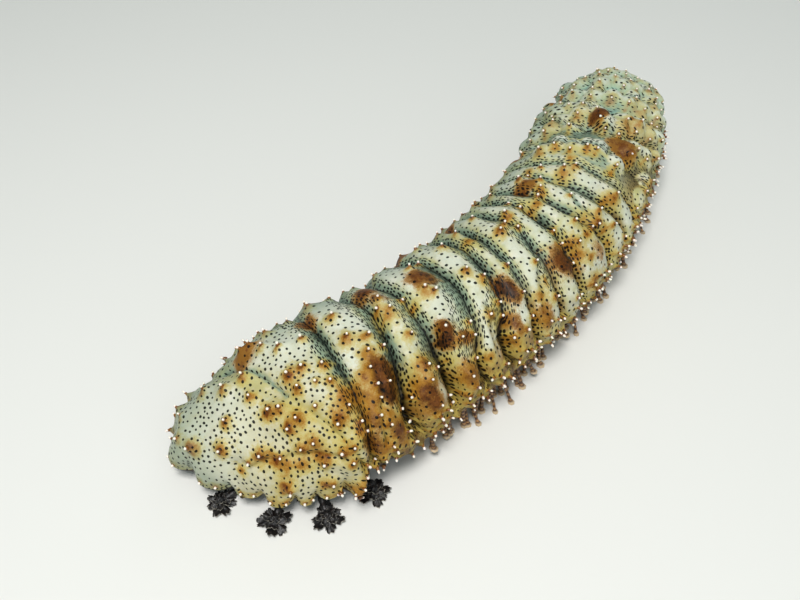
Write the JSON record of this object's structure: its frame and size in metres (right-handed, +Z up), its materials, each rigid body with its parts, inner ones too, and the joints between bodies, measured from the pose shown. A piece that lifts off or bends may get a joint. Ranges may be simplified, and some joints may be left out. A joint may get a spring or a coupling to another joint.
{
  "type": "sea cucumber",
  "caption": "Spotted sea cucumber resting on its sole, a bent furrowed body with papillae, tube feet and spread mouth tentacles under a scalloped hood.",
  "frame": {"origin": "on the floor, under the middle of the animal's box as seen from above", "axes": "+X towards the head, +Y towards the side that the picture shows, +Z up from the floor"},
  "size_m": [0.3604, 0.1173, 0.0633],
  "materials": {
    "skin": "moist cream skin with black dots, orange-brown warts and grey-green furrows",
    "sole": "moist brown sole with banded tube feet",
    "mouth": "moist black skin",
    "tentacle": "moist black skin with white frilled edges"
  },
  "bodies": {
    "root": {"tail": "skin", "trunk_rear": "skin", "trunk_middle": "skin", "trunk_front": "skin", "head": "skin", "sole_rear": "sole", "sole_middle": "sole", "sole_front": "sole", "mouth": "mouth", "tentacle_01": "tentacle", "tentacle_02": "tentacle", "tentacle_03": "tentacle", "tentacle_04": "tentacle", "tentacle_05": "tentacle", "tentacle_06": "tentacle", "tentacle_07": "tentacle", "tentacle_08": "tentacle", "tentacle_09": "tentacle", "tentacle_10": "tentacle", "tentacle_11": "tentacle", "tentacle_12": "tentacle", "tentacle_13": "tentacle", "tentacle_14": "tentacle", "tentacle_15": "tentacle", "tentacle_16": "tentacle", "tentacle_17": "tentacle", "tentacle_18": "tentacle", "tentacle_19": "tentacle", "tentacle_20": "tentacle"}
  },
  "joints": []
}
